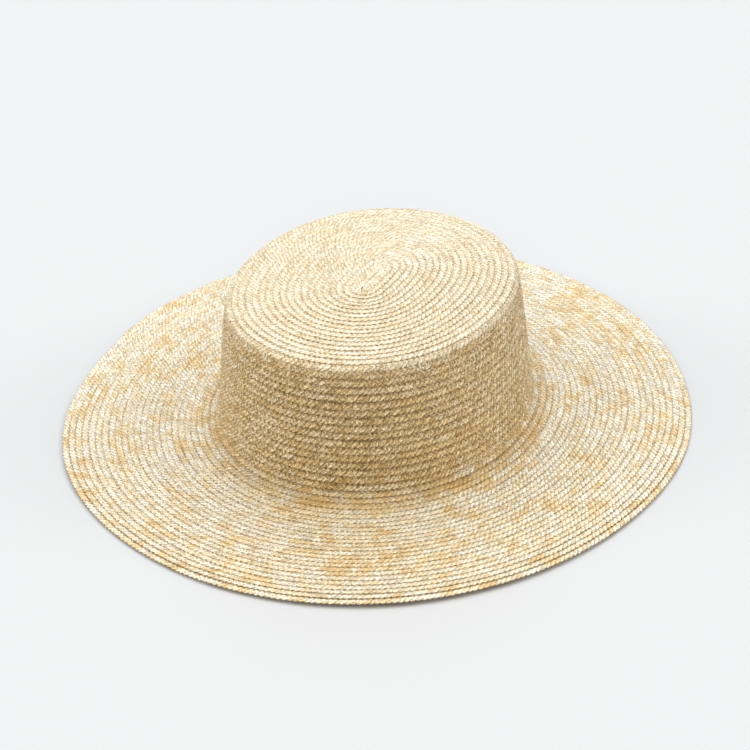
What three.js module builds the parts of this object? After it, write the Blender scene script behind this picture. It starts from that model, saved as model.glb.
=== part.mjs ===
// A wide-brimmed straw hat with a flat top, sewn from one long straw braid that
// winds from the middle of the crown out to the rim. Millimetres, +Z up.
// The head's long axis lies along Y and the front faces -Y. The hat rests on its
// rim, and the origin is on that surface under the middle of the hat.
import * as THREE from "three";

// Driving sizes, all at the middle of the straw wall.
const WALL = 2.2; // two lapped thicknesses of pressed braid
const GAP = 0.3; // clearance between the crown's foot and the brim

// The hat's ovals at the top's edge, at the head and at the rim: half the width
// along X, and how much longer than that the oval is along Y.
const TIP_HALF_WIDTH = 77.5;
const TIP_LONGER = 11.8;
const HEAD_HALF_WIDTH = 85.4;
const HEAD_LONGER = 10.1;
const RIM_HALF_WIDTH = 178.5;
const RIM_LONGER = 6.2;

// Heights of the middle of the wall above the lowest point of the rim's middle.
const TIP_HEIGHT = 84.7; // flat middle of the top
const TIP_FLAT = 20; // half width of that flat middle
const TIP_FALL = 2.6; // how far the top sinks between there and its edge
const TIP_CORNER = 4.5; // radius between the top and the side
const FOOT_HEIGHT = 10.8; // where the side starts to turn out
const FOOT_FLARE = 5; // radius of that turn
const FOOT_TURN = 42; // degrees of it before the foot meets the brim
const BRIM_RISE = 4; // climb of the brim beside the crown
const BRIM_SWEEP = 12; // width over which most of that climb happens
const SWEEP_SHARPNESS = 1.5; // above 1 the climb bends off level near the crown
const BRIM_SLOPE = 1; // the rest of the brim's height, lost evenly to the rim

// Slow waves of the brim, full at the rim and gone at the crown: how many there
// are around the rim, how far each lifts it, and the direction of one crest.
const BRIM_WAVES = [
  { around: 2, lift: 1.35, from: 117 },
  { around: 3, lift: 1, from: 74 },
  { around: 4, lift: 0.3, from: 34 },
];

// How finely the curved walls are cut into faces.
const AROUND = 84;
const ARC_STEPS = 4;
const TIP_STEPS = 3;
const SIDE_STEPS = 3;
const SWEEP_STEPS = 5;
const BRIM_STEPS = 6;
const OVAL_ROUNDNESS = 0.1; // share of the half width that rounds the ovals' sides

const straw = new THREE.MeshStandardMaterial({
  color: new THREE.Color(0.86, 0.76, 0.56),
  roughness: 0.62,
  metalness: 0,
});
const sewnStraw = straw.clone();

// A point of the oval with this half width, in the direction whose outward
// normal turns by angle from the X axis. Each oval lies parallel to the next,
// as the turns of a sewn braid do, and the smallest is a straight fold.
function ovalPoint(halfWidth, longer, angle) {
  const foldX = OVAL_ROUNDNESS * Math.max(halfWidth, 0.001);
  const foldY = foldX + longer;
  const reach = Math.hypot(foldX * Math.cos(angle), foldY * Math.sin(angle));
  const round = halfWidth - foldX;
  return {
    x: (foldX * foldX * Math.cos(angle)) / reach + round * Math.cos(angle),
    y: (foldY * foldY * Math.sin(angle)) / reach + round * Math.sin(angle),
  };
}

// Lifts of the brim's waves in one direction.
function waveAt(angle) {
  let lift = 0;
  for (const wave of BRIM_WAVES)
    lift +=
      wave.lift *
      Math.cos(wave.around * (angle - THREE.MathUtils.degToRad(wave.from)));
  return lift;
}

// The height that puts the lowest point of the waving rim on the ground.
function restHeight() {
  let lowest = 0;
  for (let i = 0; i < AROUND; i++)
    lowest = Math.min(lowest, waveAt((i / AROUND) * 2 * Math.PI));
  return WALL / 2 - lowest;
}
const REST = restHeight();

// How much longer than wide the hat is, at a point of its profile.
function longerAt(halfWidth, height) {
  if (halfWidth > HEAD_HALF_WIDTH) {
    const out = (halfWidth - HEAD_HALF_WIDTH) / (RIM_HALF_WIDTH - HEAD_HALF_WIDTH);
    return THREE.MathUtils.lerp(HEAD_LONGER, RIM_LONGER, out);
  }
  const up = THREE.MathUtils.clamp(
    (height - FOOT_HEIGHT) / (TIP_HEIGHT - FOOT_HEIGHT),
    0,
    1,
  );
  return THREE.MathUtils.lerp(HEAD_LONGER, TIP_LONGER, up);
}

// The crown's profile, from the middle of the top to its foot on the brim. The
// x of a profile point is the oval's half width and its y is the height.
function crownProfile() {
  const edge = TIP_HALF_WIDTH;
  const edgeHeight = TIP_HEIGHT - TIP_FALL;
  const lean = Math.atan2(
    HEAD_HALF_WIDTH - edge,
    edgeHeight - TIP_CORNER - FOOT_HEIGHT,
  );
  const points = [
    new THREE.Vector2(0, TIP_HEIGHT),
    new THREE.Vector2(TIP_FLAT / 2, TIP_HEIGHT),
  ];
  for (let i = 0; i <= TIP_STEPS; i++) {
    const t = i / TIP_STEPS;
    points.push(
      new THREE.Vector2(
        THREE.MathUtils.lerp(TIP_FLAT, edge - TIP_CORNER, t),
        TIP_HEIGHT - TIP_FALL * t * t,
      ),
    );
  }
  const corner = new THREE.EllipseCurve(
    edge - TIP_CORNER,
    edgeHeight - TIP_CORNER,
    TIP_CORNER,
    TIP_CORNER,
    Math.PI / 2,
    lean,
    true,
  );
  points.push(...corner.getPoints(ARC_STEPS).slice(1));
  const top = points[points.length - 1];
  const foot = new THREE.Vector2(HEAD_HALF_WIDTH, FOOT_HEIGHT);
  for (let i = 1; i < SIDE_STEPS; i++)
    points.push(top.clone().lerp(foot, i / SIDE_STEPS));
  const flare = new THREE.EllipseCurve(
    HEAD_HALF_WIDTH + FOOT_FLARE,
    FOOT_HEIGHT,
    FOOT_FLARE,
    FOOT_FLARE,
    Math.PI,
    Math.PI + THREE.MathUtils.degToRad(FOOT_TURN),
    false,
  );
  points.push(...flare.getPoints(ARC_STEPS));
  return points;
}

// Cuts the foot level, to stand on the brim with the clearance between them.
function levelFoot(profile, outsideEnd) {
  const floor = BRIM_RISE + BRIM_SLOPE + WALL / 2 + GAP;
  profile[outsideEnd].y = floor;
  profile[outsideEnd + 1].y = floor;
}

// The brim's profile: level under the crown's foot, then sweeping down and
// running out almost flat to the rim.
function brimProfile() {
  const inner = HEAD_HALF_WIDTH - WALL / 2;
  const level = BRIM_RISE + BRIM_SLOPE;
  const start = HEAD_HALF_WIDTH + FOOT_FLARE;
  const swept = start + BRIM_SWEEP * 2;
  const widths = [];
  for (let i = 0; i <= SWEEP_STEPS; i++)
    widths.push(THREE.MathUtils.lerp(start, swept, i / SWEEP_STEPS));
  for (let i = 1; i <= BRIM_STEPS; i++)
    widths.push(THREE.MathUtils.lerp(swept, RIM_HALF_WIDTH, i / BRIM_STEPS));
  const points = [new THREE.Vector2(inner, level)];
  for (const halfWidth of widths) {
    const out = (halfWidth - start) / (RIM_HALF_WIDTH - start);
    const climb = Math.exp(
      -(((halfWidth - start) / BRIM_SWEEP) ** SWEEP_SHARPNESS),
    );
    points.push(
      new THREE.Vector2(halfWidth, BRIM_RISE * climb + BRIM_SLOPE * (1 - out)),
    );
  }
  return points;
}

// One side of a wall: the profile moved along its own normal.
function offsetProfile(points, distance) {
  return points.map((point, i) => {
    const before = points[Math.max(i - 1, 0)];
    const after = points[Math.min(i + 1, points.length - 1)];
    const along = after.clone().sub(before).normalize();
    const moved = new THREE.Vector2(
      point.x - along.y * distance,
      point.y + along.x * distance,
    );
    if (point.x === 0) moved.x = 0;
    return moved;
  });
}

// Sweeps a closed profile around the ovals. A profile point on the axis
// becomes one vertex, and liftAt says how far each point rides on the waves.
function ovalSweep(profile, longer, liftAt) {
  const positions = [];
  const rings = profile.map((point, k) => {
    if (point.x === 0) {
      positions.push(0, 0, point.y + REST);
      return { single: positions.length / 3 - 1 };
    }
    const start = positions.length / 3;
    for (let i = 0; i < AROUND; i++) {
      const angle = (i / AROUND) * 2 * Math.PI;
      const at = ovalPoint(point.x, longer[k], angle);
      positions.push(at.x, at.y, point.y + REST + liftAt(point.x) * waveAt(angle));
    }
    return { start };
  });
  const vertex = (ring, i) =>
    ring.single === undefined ? ring.start + (i % AROUND) : ring.single;
  const faces = [];
  rings.forEach((ring, k) => {
    const next = rings[(k + 1) % rings.length];
    if (ring.single !== undefined && next.single !== undefined) return;
    for (let i = 0; i < AROUND; i++) {
      const [a, b] = [vertex(ring, i), vertex(ring, i + 1)];
      const [c, d] = [vertex(next, i), vertex(next, i + 1)];
      if (a !== b) faces.push(a, d, b);
      if (c !== d) faces.push(a, c, d);
    }
  });
  const geometry = new THREE.BufferGeometry();
  geometry.setAttribute(
    "position",
    new THREE.Float32BufferAttribute(positions, 3),
  );
  geometry.setIndex(faces);
  geometry.computeVertexNormals();
  return geometry;
}

// A wall of straw: its outside and inside are the profile moved half the wall
// each way, joined at the ends.
function strawWall(name, middle, liftAt, finishEnd, material) {
  const outside = offsetProfile(middle, WALL / 2);
  const inside = offsetProfile(middle, -WALL / 2).reverse();
  const profile = [...outside, ...inside];
  finishEnd(profile, outside.length - 1);
  const longer = [...middle, ...middle.slice().reverse()].map((point) =>
    longerAt(point.x, point.y),
  );
  const mesh = new THREE.Mesh(ovalSweep(profile, longer, liftAt), material);
  mesh.name = name;
  return mesh;
}

// Share of the waves that reaches a point of the brim.
function brimLift(halfWidth) {
  const out = (halfWidth - HEAD_HALF_WIDTH) / (RIM_HALF_WIDTH - HEAD_HALF_WIDTH);
  return THREE.MathUtils.smoothstep(out, 0, 1);
}

const crown = strawWall("crown", crownProfile(), () => 0, levelFoot, straw);
const brim = strawWall("brim", brimProfile(), brimLift, () => {}, sewnStraw);

const hat = new THREE.Group();
hat.add(crown, brim);

export default hat;
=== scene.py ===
import math

import bpy
import numpy as np
from mathutils import Matrix, Vector


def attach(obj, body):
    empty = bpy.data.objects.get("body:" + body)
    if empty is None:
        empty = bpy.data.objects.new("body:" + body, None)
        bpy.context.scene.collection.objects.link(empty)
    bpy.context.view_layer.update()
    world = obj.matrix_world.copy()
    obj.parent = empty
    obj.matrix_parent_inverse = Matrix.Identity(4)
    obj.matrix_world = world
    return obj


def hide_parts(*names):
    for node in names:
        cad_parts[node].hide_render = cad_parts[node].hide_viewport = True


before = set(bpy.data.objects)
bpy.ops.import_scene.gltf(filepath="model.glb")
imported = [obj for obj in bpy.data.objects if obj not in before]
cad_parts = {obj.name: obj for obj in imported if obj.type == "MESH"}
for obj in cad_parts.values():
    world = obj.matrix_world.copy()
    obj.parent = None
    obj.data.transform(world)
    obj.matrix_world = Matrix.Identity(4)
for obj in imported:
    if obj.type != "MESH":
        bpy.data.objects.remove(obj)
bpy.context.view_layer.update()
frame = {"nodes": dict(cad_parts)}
print("frame loaded:", ", ".join(frame["nodes"]))

mm = 0.001
fullTurn = 2 * math.pi

# the hat's shape, in millimetres, at the middle of the straw
hat = {
    "tipHalfWidth": 77.5,  # half the width of the top's edge
    "tipLonger": 11.8,  # half its length is this much more
    "headHalfWidth": 85.4,
    "headLonger": 10.1,
    "rimHalfWidth": 178.5,
    "rimLonger": 6.2,
    "ovalRoundness": 0.1,  # share of the half width that rounds the ovals' sides
    "centreWidth": 0.001,  # the ovals' smallest half width
    "tipHeight": 84.7,
    "tipFlat": 20,  # half the width of the top's flat middle
    "tipFall": 2.6,  # how far the top sinks from there to its edge
    "tipCorner": 4.5,
    "footHeight": 10.8,
    "footFlare": 5,
    "brimRise": 4,  # how far the brim climbs to the crown
    "brimSweep": 12,  # width over which most of that climb happens
    "sweepSharpness": 1.5,
    "brimSlope": 1,  # the rest of the brim's height, lost evenly to the rim
    "pastRim": 2,  # the profile runs on a little past the rim
    "profileSteps": 400,
    "waves": [(2, 1.35, 117), (3, 1, 74), (4, 0.3, 34)],  # waves around, lift, crest in degrees
    "rest": 3.26,  # lifts the rim's lowest point onto the floor
    "deepest": 2.16,  # how far the waves dip at most
    "front": 298,  # the side that the camera sees, in degrees from +X
    "frontFade": (0.2, 0.8),  # cosine of the turn away from it where the next two start, and are full
    "frontIn": 3.8,  # how far the rim is drawn in
    "frontLow": 0.65,  # share of the waves' lift that is taken away
}

# the straw braid: five strands plaited flat, so that they meet in a V along the middle
braid = {
    "strands": 5,
    "width": 5.9,
    "plait": 2.95,  # length of one plait along the braid
    # from the edge to the middle: how far in, thickness, how far it turns over, how far it bulges
    "columns": [(0, 0.4, 0.17, 1), (0.32, 0.68, 0.07, 0.8), (1.475, 0.84, 0, 0), (2.95, 0.8, 0, 0)],
    "relief": 0.13,  # how far each plait swells
    "brimRelief": 0.08,
    "scallop": 0.2,  # how far it bulges at the edges
    "tipPitch": 3.87,  # the width of each row that shows
    "sidePitch": 4.47,
    "brimPitch": 3.62,
    "sideRows": (84, 152),  # where the rows stand upright, from the top's centre
    "blend": 4,  # half the width over which they start and end
    "footBlend": 8,
    "tilt": 0.165,  # each row's outer edge lies over the next row
    "sideTilt": 0.34,
    "sideShade": 0.42,  # share of the clear width that the upright rows leave in the light
    "rimTilt": 0.22,
    "rimTurns": (5, 2),  # turns from the end between which that slope sets in
    "rimReach": 178,  # distance of the last turn from the middle
    "lastTilt": 0.06,  # nothing lies under the last row
    "lastSink": 0.3,
    "lastBlend": 0.1,  # share of a turn over which it sinks
    "start": 1.93,  # from the fold at the top's centre to the middle of the first row
    "startAngle": -75,  # degrees, just before one end of that fold
    "startShift": 1.6,  # how far the first half turn is drawn in to close the centre
    "startTurns": 5,  # turns over which the rows even out again
    "firstTurn": 75,  # length of the turn that no row laps over
    "centre": (2, 9),  # distances between which the first rows reach their full slope
    "centreTilt": 0.3,
    "centreRaise": 0.3,
    "centreLap": 0.12,  # the first row's edges meet over the fold
    "straightTip": (58, 68),  # the braid lies straight across until here, and then follows the corner
    "endAngle": 212,  # where on the rim the braid ends, in degrees from +X
    "endTaper": 70,  # the length over which it slips under the row before
    "endIn": 1.2,
    "endSink": 0.8,
    "endWidth": 0.45,
    "endNarrow": 20,
    "stepOut": 0.07,  # share of a turn in which each row near the rim steps outwards
    "levelTurns": (1.5, 9),
    "levelShare": 0.75,
    "rimInset": 0.45,
    "windSteps": 8000,
    "pathSteps": 1200,
    "foldPace": 0.49,  # closer steps along the straight of the fold
    "wander": 0.22,  # how far the rows stray slowly, and a third as far quickly
    "slowWander": (40, 3),  # rings between two turns of the hand, random seed
    "quickWander": (11, 4),
}


def ramp(low, high, value):  # smooth step from 0 at low to 1 at high
    share = np.clip((value - low) / (high - low), 0, 1)
    return share * share * (3 - 2 * share)


def hatProfile():
    # the middle of the wall from the top's centre to the rim, with its arc length
    edge = hat["tipHalfWidth"]
    corner = hat["tipCorner"]
    head = hat["headHalfWidth"]
    flare = hat["footFlare"]
    edgeHeight = hat["tipHeight"] - hat["tipFall"]
    level = hat["brimRise"] + hat["brimSlope"]
    lean = math.atan2(head - edge, edgeHeight - corner - hat["footHeight"])
    fine = np.linspace(0, 1, hat["profileSteps"])

    # the top's flat middle, its fall to the edge, and the corner
    width = [hat["tipFlat"] * fine]
    height = [np.full_like(fine, hat["tipHeight"])]
    width.append(hat["tipFlat"] + (edge - corner - hat["tipFlat"]) * fine)
    height.append(hat["tipHeight"] - hat["tipFall"] * fine**2)
    turn = math.pi / 2 + (lean - math.pi / 2) * fine
    width.append(edge - corner + corner * np.cos(turn))
    height.append(edgeHeight - corner + corner * np.sin(turn))

    # the side and its foot
    width.append(width[-1][-1] + (head - width[-1][-1]) * fine)
    height.append(height[-1][-1] + (hat["footHeight"] - height[-1][-1]) * fine)
    turn = math.pi + math.pi / 2 * fine
    width.append(head + flare + flare * np.cos(turn))
    height.append(hat["footHeight"] + (hat["footHeight"] - level) * np.sin(turn))

    # the brim
    start = head + flare
    out = hat["rimHalfWidth"] + hat["pastRim"] - start
    width.append(start + out * fine)
    climb = np.exp(-((out * fine / hat["brimSweep"]) ** hat["sweepSharpness"]))
    height.append(hat["brimRise"] * climb + hat["brimSlope"] * (1 - fine))

    width = np.concatenate(width)
    height = np.concatenate(height)
    arc = np.concatenate([[0], np.cumsum(np.hypot(np.diff(width), np.diff(height)))])
    sameSpot = 1e-6
    keep = np.concatenate([[True], np.diff(arc) > sameSpot])
    return arc[keep], width[keep], height[keep]


profileArc, profileWidth, profileHeight = hatProfile()
profileSlope = np.arctan2(np.gradient(profileHeight, profileArc), np.gradient(profileWidth, profileArc))


def arcAt(width):
    return np.interp(width, profileWidth, profileArc)


def longerAt(width, height):
    foot = hat["footHeight"]
    up = np.clip((height - foot) / (hat["tipHeight"] - foot), 0, 1)
    onCrown = hat["headLonger"] + (hat["tipLonger"] - hat["headLonger"]) * up
    out = (width - hat["headHalfWidth"]) / (hat["rimHalfWidth"] - hat["headHalfWidth"])
    onBrim = hat["headLonger"] + (hat["rimLonger"] - hat["headLonger"]) * out
    return np.where(out > 0, onBrim, onCrown)


def brimWave(angle):
    lifts = [lift * np.cos(around * (angle - math.radians(crest))) for around, lift, crest in hat["waves"]]
    return sum(lifts)


def wallPoint(arc, angle):
    # a point of the middle of the wall; angle is the way that the oval faces there
    width = np.interp(arc, profileArc, profileWidth)
    height = np.interp(arc, profileArc, profileHeight)
    foldX = hat["ovalRoundness"] * np.maximum(width, hat["centreWidth"])
    foldY = foldX + longerAt(width, height)
    reach = np.hypot(foldX * np.cos(angle), foldY * np.sin(angle))
    bend = width - foldX
    x = foldX**2 * np.cos(angle) / reach + bend * np.cos(angle)
    y = foldY**2 * np.sin(angle) / reach + bend * np.sin(angle)
    out = ramp(0, 1, (width - hat["headHalfWidth"]) / (hat["rimHalfWidth"] - hat["headHalfWidth"]))
    front = out * ramp(*hat["frontFade"], np.cos(angle - math.radians(hat["front"])))
    x = x - hat["frontIn"] * front * np.cos(angle)
    y = y - hat["frontIn"] * front * np.sin(angle)
    wave = brimWave(angle)
    wave = wave - hat["frontLow"] * front * (wave + hat["deepest"])
    z = height + hat["rest"] + out * wave
    return np.stack([x, y, z], axis=-1)


def rowPitch(arc):
    # the width of each row that shows
    blend = braid["blend"]
    corner = arcAt(hat["tipHalfWidth"])
    foot = arcAt(hat["headHalfWidth"] + hat["footFlare"])
    onSide = ramp(corner - blend, corner + blend, arc)
    onBrim = ramp(foot - blend, foot + braid["footBlend"], arc)
    pitch = braid["tipPitch"] + (braid["sidePitch"] - braid["tipPitch"]) * onSide
    return pitch + (braid["brimPitch"] - braid["sidePitch"]) * onBrim


def windBraid():
    # the spiral's place on the wall and its direction, from the top's centre to the rim
    rimRow = arcAt(hat["rimHalfWidth"]) - braid["width"] / 2 - braid["rimInset"]
    fineArc = np.linspace(braid["start"], rimRow + braid["brimPitch"] / 2, braid["windSteps"])
    turns = np.concatenate([[0], np.cumsum(np.diff(fineArc) / rowPitch(fineArc[1:]))])
    startAt = math.radians(braid["startAngle"])
    endAt = math.radians(braid["endAngle"])
    part = (endAt - startAt) / fullTurn % 0.5
    wanted = part + round((turns[-1] - part) * 2) / 2  # the braid starts at either end of the fold
    turns *= wanted / turns[-1]
    finish = endAt + fullTurn * 100  # whole turns more, so that every angle is above zero
    first = finish - fullTurn * wanted
    even = np.arange(first, finish, fullTurn / braid["pathSteps"])
    angle = even - braid["foldPace"] * np.sin(2 * even)
    angle = np.unique(np.clip(angle, first, finish))
    turn = (angle - first) / fullTurn
    arc = np.interp(turn, turns, fineArc)
    flat = first - startAt
    arc -= braid["startShift"] * np.exp(-turn / braid["startTurns"]) * (1 - np.cos(angle - flat)) / 2

    # near the rim each row keeps level and steps out just once, where the braid ends
    left = wanted - turn
    share = left % 1
    step = np.where(left > 1, 1 - ramp(0, braid["stepOut"], share), 0)
    level = braid["levelShare"] * braid["brimPitch"] * (share - 0.5 + step)
    arc += level * (1 - ramp(*braid["levelTurns"], left))
    return arc, angle


spiralArc, spiralAngle = windBraid()
path = wallPoint(spiralArc, spiralAngle)
length = np.concatenate([[0], np.cumsum(np.linalg.norm(np.diff(path, axis=0), axis=1))])
turnCount = (spiralAngle[-1] - spiralAngle[0]) / fullTurn
print("braid wound: %.2f m, %.1f turns" % (length[-1] * mm, turnCount))


def wander(count, reach, spacing, seed):
    # slow random drift, the way a hand guides the braid
    knots = np.random.RandomState(seed).uniform(-1, 1, int(count / spacing) + 4)
    at = np.arange(count) / spacing
    low = at.astype(int)
    share = ramp(0, 1, at - low)
    return reach * (knots[low] * (1 - share) + knots[low + 1] * share)


farColumns = [(braid["width"] - inwards, *rest) for inwards, *rest in braid["columns"][-2::-1]]
columns = braid["columns"] + farColumns
steps = len(columns)


def braidRings():
    # one ring of points across the braid for every half plait
    half = braid["plait"] / 2
    blend = braid["blend"]
    count = int(length[-1] / half)
    along = np.arange(count) * half
    left = along[-1] - along
    arc = np.interp(along, length, spiralArc)
    angle = np.interp(along, length, spiralAngle)
    pitch = rowPitch(arc)
    arc = arc + wander(count, braid["wander"], *braid["slowWander"])
    arc = arc + wander(count, braid["wander"] / 3, *braid["quickWander"])

    # the end narrows and slips in under the row before
    tail = 1 - ramp(0, braid["endTaper"], left)
    arc = arc - braid["endIn"] * tail
    narrow = braid["endWidth"] + (1 - braid["endWidth"]) * np.clip(left / braid["endNarrow"], 0, 1)

    # how each stretch of the braid leans, sinks and swells
    upper, lower = braid["sideRows"]
    centred = ramp(*braid["centre"], arc)
    onBrim = ramp(lower - blend, lower + blend, arc)
    onSide = ramp(upper - blend, upper + blend, arc) * (1 - onBrim)
    lastTurn = fullTurn * braid["rimReach"]
    last = ramp(along[-1] - lastTurn, along[-1] - lastTurn * (1 - braid["lastBlend"]), along)
    early, late = braid["rimTurns"]
    nearRim = ramp(along[-1] - lastTurn * early, along[-1] - lastTurn * late, along)
    tilt = braid["tilt"] * (braid["centreTilt"] + (1 - braid["centreTilt"]) * centred)
    tilt = tilt + (braid["sideTilt"] - braid["tilt"]) * onSide
    tilt = tilt + (braid["rimTilt"] - braid["tilt"]) * nearRim
    tilt = tilt + (braid["lastTilt"] - tilt) * last
    sink = braid["endSink"] * tail + braid["lastSink"] * last
    raised = braid["centreRaise"] * (1 - centred)
    relief = braid["relief"] + (braid["brimRelief"] - braid["relief"]) * onBrim

    middle = wallPoint(arc, angle)
    heading = np.gradient(middle, axis=0)
    heading /= np.linalg.norm(heading, axis=1, keepdims=True)
    straightShare = 1 - ramp(*braid["straightTip"], arc)[:, None]
    rings = []
    for top in (1, -1):  # the upper side's points, then back along the underside
        for across, thick, turn, bulge in columns[::top]:
            fromMiddle = across - braid["width"] / 2
            pillow = -np.cos(fullTurn * (along + abs(fromMiddle)) / braid["plait"])
            side = np.sign(fromMiddle)
            reach = (fromMiddle + side * bulge * pillow * braid["scallop"]) * narrow
            reach = np.maximum(reach, -braid["centreLap"] - arc)
            lift = tilt * reach - side * turn - sink + raised
            lift = lift + top * (thick / 2 + pillow * relief) * narrow
            here = arc + reach
            slope = np.interp(here, profileArc, profileSlope)
            rise = np.sin(slope)
            facing = np.stack([-rise * np.cos(angle), -rise * np.sin(angle), np.cos(slope)], axis=1)
            curved = wallPoint(here, angle)
            outward = np.cross(heading, facing)
            outward /= np.linalg.norm(outward, axis=1, keepdims=True)
            straight = middle + outward * reach[:, None]
            straight[:, 2] = curved[:, 2]
            point = curved + (straight - curved) * straightShare
            rings.append(point + facing * lift[:, None])
    return np.stack(rings, axis=1), along, arc, pitch


rings, ringAlong, ringArc, ringPitch = braidRings()
print("braid plaited: %d rings of %d points" % rings.shape[:2])


class sockVal:
    # a node socket that works in plain arithmetic
    def __init__(self, socket):
        self.socket = socket

    def node(self, kind, settings, values):  # any node: its settings first, then its sockets
        tree = self.socket.id_data
        made = tree.nodes.new("ShaderNode" + kind)
        for name, setting in settings.items():
            setattr(made, name, setting)
        for name, value in values.items():
            if isinstance(value, sockVal):
                tree.links.new(value.socket, made.inputs[name])
            else:
                made.inputs[name].default_value = value
        return made

    def maths(self, operation, *terms):
        return sockVal(self.node("Math", {"operation": operation}, dict(enumerate(terms))).outputs[0])

    def __add__(self, other):
        return self.maths("ADD", self, other)

    def __radd__(self, other):
        return self.maths("ADD", other, self)

    def __sub__(self, other):
        return self.maths("SUBTRACT", self, other)

    def __rsub__(self, other):
        return self.maths("SUBTRACT", other, self)

    def __mul__(self, other):
        return self.maths("MULTIPLY", self, other)

    def __rmul__(self, other):
        return self.maths("MULTIPLY", other, self)

    def __truediv__(self, other):
        return self.maths("DIVIDE", self, other)

    def __rtruediv__(self, other):
        return self.maths("DIVIDE", other, self)

    def floor(self):
        return self.maths("FLOOR", self)

    def fract(self):
        return self.maths("FRACT", self)

    def absolute(self):
        return self.maths("ABSOLUTE", self)

    def modulo(self, other):
        return self.maths("FLOORED_MODULO", self, other)

    def above(self, other):
        return self.maths("GREATER_THAN", self, other)

    def ramp(self, low, high):  # smooth step from 0 at low to 1 at high
        values = {"Value": self, "From Min": low, "From Max": high}
        made = self.node("MapRange", {"interpolation_type": "SMOOTHSTEP"}, values)
        return sockVal(made.outputs["Result"])

    def mixColour(self, first, second):  # this value mixes two colours
        made = self.node("Mix", {"data_type": "RGBA"}, {0: self, 6: first, 7: second})
        return sockVal(made.outputs[2])

    def vector(self, x, y, z):
        return sockVal(self.node("CombineXYZ", {}, {0: x, 1: y, 2: z}).outputs[0])

    def noise(self, scale, detail, rough):  # soft noise at this vector
        values = {"Vector": self, "Scale": scale, "Detail": detail, "Roughness": rough}
        return sockVal(self.node("TexNoise", {}, values).outputs["Fac"])

    def chance(self):  # a random number for each whole value
        made = self.node("TexWhiteNoise", {"noise_dimensions": "1D"}, {"W": self})
        return sockVal(made.outputs["Value"])


# wheat straw: colours as linear light, lengths in millimetres of braid, heights in metres;
# three numbers are the flat top's value, what the side adds to it and what the brim adds
straw = {
    "pale": (0.93, 0.90, 0.80, 1),
    "cream": (0.93, 0.84, 0.655, 1),
    "golden": (0.875, 0.685, 0.41, 1),
    "tan": (0.82, 0.56, 0.23, 1),
    "shadow": (0.10, 0.055, 0.015, 1),
    "brimTop": (0.010, 0.014),  # heights between which the brim becomes the side
    "sideTop": (0.079, 0.085),
    "byCrown": (0.0056, 0.0082),  # heights between which the brim comes up to the crown
    "pieceLength": 150,  # straws are joined about this often
    "pieceShift": 900,  # each strand's joints are somewhere else
    "drift": 0.45,  # how unevenly the strands lie, in plaits
    "driftSize": (5, 4),  # along and across
    # the straw's own warmth; what the side adds is painted shade, the golden look of rows that shade each
    # other
    "warmthAndSideShade": (0.4, 0.34, 0),
    # painted bounce light: the brim beside the crown is warmer, as if lit from the crown's side
    "crownBounceWarmth": 0.4,
    "patches": (0.5, 0, 1),  # the brim is the most mottled
    "rowPatchSize": (12, 40),
    "strandPatchSize": 9,
    "patchScale": 95,  # patches that run over several rows, so many to a metre
    "slowScale": 20,
    "patchWeights": (1.1, 1.5, 0.4, 0.4),  # over the rows, along a row, along a strand, slow
    "strawWeights": (0.2, 0.2, 0.5),  # one straw, one strand's turn, its fibres
    "groove": (0.34, 0.1, -0.1),  # shade where two strands lie side by side
    "hole": (0.35, 0.25, 0),  # and where they turn back
    "lap": (0.26, 0.52, 0),  # and along the row that laps over
    "lapWidth": (-0.1, 0.6),
    "lip": 0.1,  # and on the braid's own outer edge
    "lipWidth": (5.35, 5.95),
    "dash": 0.08,  # both are a little darker once in each plait
    # painted shade where the strands tuck in along the braid's middle
    "tuck": 0.1,
    # the straw's grain, with the painted shade of its creases
    "grainAndCreaseShade": (0.25, 0.13, 0.05),
    "grainWeights": (0.6, 0.8, 1.4, 0.6),  # one strand's turn, fibres, flecks, and the painted shade of creases
    "fleckSize": (0.6, 0.65),
    "light": (0.92, 0.08, 0.08),  # painted shade: the flat top is a little darker
    # painted shade on the brim beside the crown
    "crownShade": 0.1,
    "tanShade": (0.55, 0.25, 0),  # shaded straw looks golden
    "roughness": 0.33,
    "specular": 0.8,
    "bump": 0.0005,
}


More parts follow.
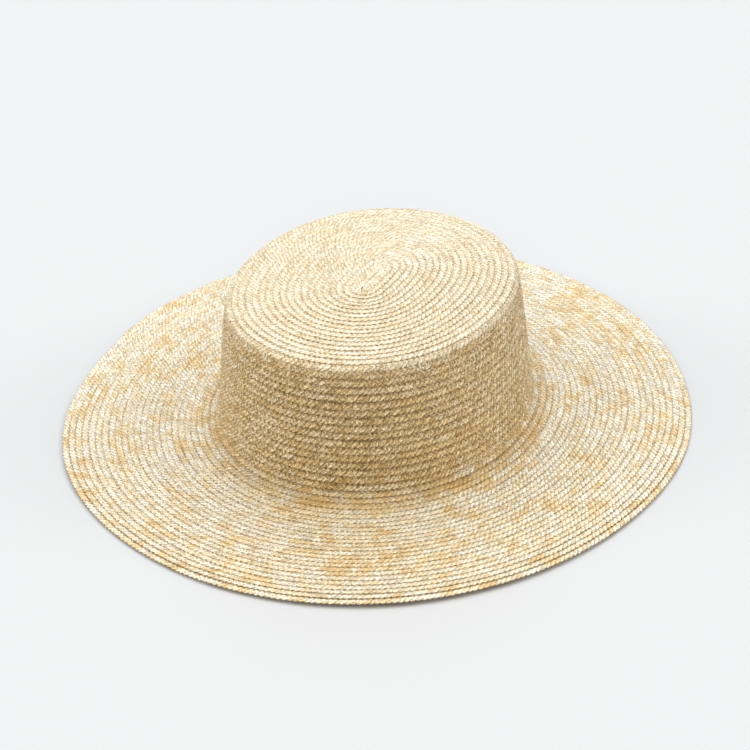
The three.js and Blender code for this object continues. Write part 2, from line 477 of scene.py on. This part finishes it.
def strawMaterial():
    material = bpy.data.materials.new("wheatStrawBraid")
    material.use_nodes = True
    tree = material.node_tree
    surface = tree.nodes["Principled BSDF"]
    base = sockVal(surface.inputs["Base Color"])
    place = base.node("Attribute", {"attribute_name": "braid"}, {})
    parts = base.node("SeparateXYZ", {}, {0: sockVal(place.outputs["Vector"])})
    along = sockVal(parts.outputs["X"])
    across = sockVal(parts.outputs["Y"])
    clear = sockVal(parts.outputs["Z"])  # how far clear of the row that laps over this one
    spot = sockVal(base.node("TexCoord", {}, {}).outputs["Object"])
    height = sockVal(base.node("SeparateXYZ", {}, {0: spot}).outputs["Z"])
    onBrim = 1 - height.ramp(*straw["brimTop"])
    onSide = (1 - onBrim) * (1 - height.ramp(*straw["sideTop"]))
    byCrown = onBrim * height.ramp(*straw["byCrown"])  # the brim's part beside the crown

    def byZone(name):
        top, side, brim = straw[name]
        return onSide * side + onBrim * brim + top

    # strands slant from both edges and meet along the middle, a little unevenly
    half = braid["width"] / 2
    flat = across.absolute()
    offset = (flat - half).absolute()
    driftLong, driftWide = straw["driftSize"]
    drift = base.vector(along / driftLong, across / driftWide, 0.5).noise(1.0, 1, 0.5) - 0.5
    turn = (along + offset) / braid["plait"] + drift * straw["drift"]
    side = turn.fract()
    outer = flat.above(half)

    # the odd factors only keep the random numbers of one strand apart from the next one's
    strand = turn.floor() * 2 + outer
    number = strand.modulo(braid["strands"])
    piece = ((along + number.chance() * straw["pieceShift"]) / straw["pieceLength"]).floor()
    tint = (piece * 7 + number * 131 + 0.5).chance()
    cell = (strand * 0.73 + 0.31).chance()
    gap = ((turn + 0.5).floor() * 1.93 + outer * 0.57).chance()

    # painted shade between the strands, where they turn and tuck in, under the next row and along the
    # braid's own outer edge
    sideEdge = (side - 0.5).absolute()
    groove = sideEdge.ramp(0.30, 0.5) * (0.4 + gap * 0.6)
    tuck = 1 - offset.ramp(0.0, 0.7)
    fold = offset.ramp(2.2, half)
    hole = sideEdge.ramp(0.2, 0.48) * (tuck + fold) * (0.3 + gap * 0.7)
    dash = ((along / braid["plait"]).fract() - 0.5).absolute().ramp(0.1, 0.4) * straw["dash"]
    edge = (1 - clear.ramp(*straw["lapWidth"])) * (byZone("lap") + dash)
    lip = across.ramp(*straw["lipWidth"]) * (straw["lip"] + dash)

    # fibres and flecks of the split straw, and painted shade along the crease down each strand's middle
    fleckLong, fleckWide = straw["fleckSize"]
    fibre = base.vector(side * 4 + strand * 3.7, offset * 0.7, strand).noise(1.0, 2, 0.6)
    fleck = base.vector(along / fleckLong, across / fleckWide, 2.5).noise(1.0, 0, 0.5).ramp(0.42, 0.62)
    creaseShade = (1 - sideEdge.ramp(0.0, 0.13)) * gap

    # pale and golden patches
    rowLong, rowWide = straw["rowPatchSize"]
    patch = spot.noise(straw["patchScale"], 1, 0.5)
    rowPatch = base.vector(along / rowLong, across / rowWide, 3.5).noise(1.0, 2, 0.5)
    strandPatch = base.vector(along / straw["strandPatchSize"], number * 11.7, 8.1).noise(1.0, 2, 0.5)
    slow = spot.noise(straw["slowScale"], 1, 0.5)
    # the straw's warmth, with painted shade on the side and painted bounce light on the brim beside the
    # crown
    warm = byZone("warmthAndSideShade") + byCrown * straw["crownBounceWarmth"]
    for kind, weight in zip((patch, rowPatch, strandPatch, slow), straw["patchWeights"]):
        warm = warm + (kind - 0.5) * byZone("patches") * weight
    for kind, weight in zip((tint, cell, fibre), straw["strawWeights"]):
        warm = warm + (kind - 0.5) * weight
    colour = warm.ramp(0.0, 0.5).mixColour(straw["pale"], straw["cream"])
    colour = warm.ramp(0.45, 0.95).mixColour(colour, straw["golden"])
    colour = (warm.ramp(0.9, 1.5) * 0.8).mixColour(colour, straw["tan"])

    # painted shade: grooves, holes, tucks, laps under the next row, the braid's lips, the flat top and the
    # brim beside the crown are darkened; then the straw's own grain and the painted shade of its creases
    light = (1 - groove * byZone("groove")) * (1 - hole * byZone("hole"))
    light = light * (1 - tuck * straw["tuck"]) * (1 - edge) * (1 - lip)
    light = light * byZone("light") * (1 - byCrown * straw["crownShade"])
    grainAndCreaseShade = byZone("grainAndCreaseShade")
    for kind, weight in zip((cell * cell, fibre.ramp(0.4, 0.65), fleck, creaseShade), straw["grainWeights"]):
        light = light * (1 - kind * grainAndCreaseShade * weight)
    # dark holds the painted shade together with the straw's own grain; it turns the colour towards tan and
    # then towards the shadow colour
    dark = 1 - light
    colour = (dark.ramp(0.25, 0.8) * byZone("tanShade")).mixColour(colour, straw["tan"])
    colour = dark.mixColour(colour, straw["shadow"])
    tree.links.new(colour.socket, surface.inputs["Base Color"])

    rough = straw["roughness"] + fibre * 0.2 + cell * 0.1 + dark * 0.3
    tree.links.new(rough.socket, surface.inputs["Roughness"])
    surface.inputs["Specular IOR Level"].default_value = straw["specular"]
    slant = (side - 0.5) * (0.5 + (cell - 0.5) * 1.4)  # each strand lies over the one before it
    relief = (1 - sideEdge * sideEdge * 3.2) * (1 - tuck * 0.5) + fibre * 0.4 + slant
    bump = base.node("Bump", {}, {"Height": relief, "Distance": straw["bump"], "Strength": 1.0})
    tree.links.new(bump.outputs["Normal"], surface.inputs["Normal"])
    return material


strawBraid = strawMaterial()
print("straw material made")

# where each piece's texture layout puts the strips of braid and the two cut ends
layout = {
    "stripSides": (0.04, 0.96),
    "stripsTop": 0.98,
    "endsFrom": 0.99,
    "endWidth": 0.01,
    "endStep": 0.012,
}


def braidPiece(name, first, last, nodes):
    # the stretch of braid between two rings, as one closed tube
    points = rings[first:last + 1]
    count, around = points.shape[:2]
    corner = np.arange(count * around).reshape(count, around)
    nextCorner = np.roll(corner, -1, axis=1)
    quads = np.stack([corner[:-1], corner[1:], nextCorner[1:], nextCorner[:-1]], axis=-1)
    capFaces = 2 * (steps - 1)
    faceCount = (count - 1) * around + capFaces
    caps = []
    for ring, turned in ((0, False), (count - 1, True)):
        for k in range(steps - 1):
            cap = [k, k + 1, 2 * steps - 2 - k, 2 * steps - 1 - k]
            cap = [corner[ring, c] for c in cap]
            caps.append(cap[::-1] if turned else cap)

    # where each corner lies on the braid: along, across, and clear of the row that laps over it
    unlapped = 5
    acrossTop = np.array([column[0] for column in columns])
    ringAcross = np.concatenate([acrossTop, -acrossTop[::-1]])
    nextAcross = np.roll(ringAcross, -1)
    nextAcross[steps - 1] = ringAcross[steps - 1] + 0.5  # the two edge faces run on past the edge
    nextAcross[-1] = -0.5
    lap = braid["width"] - ringPitch[first:last + 1]
    lap[ringAlong[first:last + 1] < braid["firstTurn"]] = -unlapped
    place = np.zeros((count - 1, around, 4, 3))
    place[..., (0, 3), 0] = ringAlong[first:last, None, None]
    place[..., (1, 2), 0] = ringAlong[first + 1:last + 1, None, None]
    place[..., (0, 1), 1] = ringAcross[:, None]
    place[..., (2, 3), 1] = nextAcross[:, None]
    clear = place[..., 1] - lap[:-1, None, None]
    upper, lower = braid["sideRows"]
    onSide = (ringArc[first:last] > upper) & (ringArc[first:last] < lower)
    clear[onSide] *= braid["sideShade"]  # the upright rows shade each other more
    place[..., 2] = np.where(place[..., 1] >= 0, clear, unlapped)

    # a texture layout that lays the braid out in strips
    strips = max(1, round(math.sqrt((count - 1) / around)))
    perStrip = math.ceil((count - 1) / strips)
    column = np.arange(count - 1)
    strip = (column // perStrip)[:, None, None]
    left = (column % perStrip / perStrip)[:, None, None]
    share = np.linspace(*layout["stripSides"], around + 1)
    sheet = np.zeros((count - 1, around, 4, 2))
    sheet[..., (0, 3), 0] = left
    sheet[..., (1, 2), 0] = left + 1 / perStrip
    sheet[..., (0, 1), 1] = (strip + share[:-1, None]) / strips
    sheet[..., (2, 3), 1] = (strip + share[1:, None]) / strips
    sheet[..., 1] *= layout["stripsTop"]
    capWidth = layout["endWidth"]
    capSheet = np.array([[0, layout["endsFrom"]], [capWidth, layout["endsFrom"]], [capWidth, 1], [0, 1]])
    capSheets = [capSheet + [layout["endStep"] * n, 0] for n in range(capFaces)]

    # some faces are turned, so that they split along the strands
    leaning = [k for k in range(around) if (k > steps // 2 - 1) == (k < steps)]
    for corners in (quads, place, sheet):
        corners[:, leaning] = np.roll(corners[:, leaning], -1, axis=2)
    faces = np.concatenate([quads.reshape(-1, 4), np.array(caps)])
    place = np.concatenate([place.reshape(-1, 3), np.zeros((4 * capFaces, 3))])
    sheet = np.concatenate([sheet.reshape(-1, 2), *capSheets])
    smooth = np.ones(faceCount, dtype=bool)
    smooth[-capFaces:] = False

    mesh = bpy.data.meshes.new(name)
    mesh.vertices.add(count * around)
    mesh.vertices.foreach_set("co", (points.reshape(-1) * mm).astype(np.float32))
    mesh.loops.add(faceCount * 4)
    mesh.loops.foreach_set("vertex_index", faces.reshape(-1).astype(np.int32))
    mesh.polygons.add(faceCount)
    mesh.polygons.foreach_set("loop_start", np.arange(0, faceCount * 4, 4, dtype=np.int32))
    mesh.polygons.foreach_set("use_smooth", smooth)
    layer = mesh.attributes.new("braid", "FLOAT_VECTOR", "CORNER")
    layer.data.foreach_set("vector", place.reshape(-1).astype(np.float32))
    uv = mesh.uv_layers.new(name="OFBake")
    uv.data.foreach_set("uv", sheet.reshape(-1).astype(np.float32))
    mesh.update(calc_edges=True)
    mesh.materials.append(strawBraid)
    piece = bpy.data.objects.new(name, mesh)
    bpy.context.collection.objects.link(piece)
    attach(piece, "root")
    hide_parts(nodes)
    print("%s: %d triangles" % (name, 2 * faceCount))


def cutBelow(width):
    # the first ring just past this part of the wall
    return int(np.argmax(ringArc > arcAt(width) + 2))


tipEnd = cutBelow(hat["tipHalfWidth"])
sideEnd = cutBelow(hat["headHalfWidth"])
sideMiddle = (tipEnd + sideEnd) // 2
brimEnd = len(ringAlong) - 1
brimRings = brimEnd - sideEnd
innerEnd = sideEnd + brimRings // 3
middleEnd = sideEnd + 2 * brimRings // 3
braidPiece("crown_tip_rows", 0, tipEnd, "crown")
braidPiece("crown_upper_side_rows", tipEnd, sideMiddle, "crown")
braidPiece("crown_lower_side_rows", sideMiddle, sideEnd, "crown")
braidPiece("brim_inner_rows", sideEnd, innerEnd, "brim")
braidPiece("brim_middle_rows", innerEnd, middleEnd, "brim")
braidPiece("brim_outer_rows", middleEnd, brimEnd, "brim")


studio = {
    "floorSize": 12,
    "floorColour": (0.505, 0.522, 0.557, 1),
    "floorRoughness": 0.8,
    "floorSpecular": 0.1,
    "skyColour": (1.0, 0.94, 0.84, 1),
    "skyStrength": 0.25,
    "behind": 118.6,  # degrees from +X, straight behind the hat as the camera sees it
    # strength, degrees round from behind, degrees above the floor, degrees across, colour
    "softboxes": [
        (1.65, 0, 49, 60, "windowColour"),
        (1.5, 90, 36, 50, "lampColour"),
        (1.5, -90, 36, 50, "lampColour"),
        (0.65, 0, 74, 60, "lampColour"),
        (1.0, 180, 28, 50, "fillColour"),
    ],
    "windowColour": (0.80, 0.88, 1.0),
    "lampColour": (1.0, 0.96, 0.87),
    "fillColour": (1.0, 0.875, 0.65),
}


def direction(turn, rise):  # towards a point at this turn from +X and this rise, both in degrees
    turn = math.radians(turn)
    rise = math.radians(rise)
    return Vector((math.cos(turn) * math.cos(rise), math.sin(turn) * math.cos(rise), math.sin(rise)))


def buildStudio():
    half = studio["floorSize"] / 2
    corners = [(-half, -half, 0), (half, -half, 0), (half, half, 0), (-half, half, 0)]
    mesh = bpy.data.meshes.new("floor")
    mesh.from_pydata(corners, [], [(0, 1, 2, 3)])
    floor = bpy.data.objects.new("floor", mesh)
    bpy.context.collection.objects.link(floor)
    material = bpy.data.materials.new("paleFloor")
    material.use_nodes = True
    surface = material.node_tree.nodes["Principled BSDF"]
    surface.inputs["Base Color"].default_value = studio["floorColour"]
    surface.inputs["Roughness"].default_value = studio["floorRoughness"]
    surface.inputs["Specular IOR Level"].default_value = studio["floorSpecular"]
    mesh.materials.append(material)

    world = bpy.data.worlds.new("studioSky")
    world.use_nodes = True
    sky = world.node_tree.nodes["Background"]
    sky.inputs["Color"].default_value = studio["skyColour"]
    sky.inputs["Strength"].default_value = studio["skyStrength"]
    bpy.context.scene.world = world

    for strength, around, elevation, spread, colour in studio["softboxes"]:
        lamp = bpy.data.lights.new("softbox", "SUN")
        lamp.energy = strength
        lamp.angle = math.radians(spread)
        lamp.color = studio[colour]
        softbox = bpy.data.objects.new("softbox", lamp)
        towards = direction(studio["behind"] + around, elevation)
        softbox.rotation_euler = (-towards).to_track_quat("-Z", "Y").to_euler()
        bpy.context.collection.objects.link(softbox)


buildStudio()
print("studio lit")

# the camera, worked out from the brim's outline and the crown's edges
view = {
    "distance": 1.208,
    "elevation": 33.7,
    "azimuth": 28.6,  # degrees to the right of the hat's front
    "roll": 2.1,
    "focalPixels": 2100,
    "imagePixels": 750,
    "originX": 377.4,  # where the hat's origin falls in the image, in pixels
    "originY": 410.4,
    "sensor": 36,
    "clipEnd": 50,
    "transform": "Standard",
    "look": "Medium High Contrast",
}


def placeCamera():
    turn = math.radians(view["azimuth"])
    roll = math.radians(view["roll"])
    towards = direction(view["azimuth"] - 90, view["elevation"])
    right = Vector((math.cos(turn), math.sin(turn), 0))
    up = towards.cross(right)
    axisX = right * math.cos(roll) - up * math.sin(roll)
    axisY = right * math.sin(roll) + up * math.cos(roll)
    axes = Matrix((axisX, axisY, towards)).transposed().to_4x4()
    lens = bpy.data.cameras.new("camera")
    size = view["imagePixels"]
    lens.sensor_width = view["sensor"]
    lens.lens = view["focalPixels"] / size * view["sensor"]
    lens.shift_x = (size / 2 - view["originX"]) / size
    lens.shift_y = (view["originY"] - size / 2) / size
    lens.clip_end = view["clipEnd"]
    camera = bpy.data.objects.new("camera", lens)
    camera.matrix_world = Matrix.Translation(towards * view["distance"]) @ axes
    bpy.context.collection.objects.link(camera)
    bpy.context.scene.camera = camera


placeCamera()
bpy.context.scene.view_settings.view_transform = view["transform"]
bpy.context.scene.view_settings.look = view["look"]
print("camera placed")
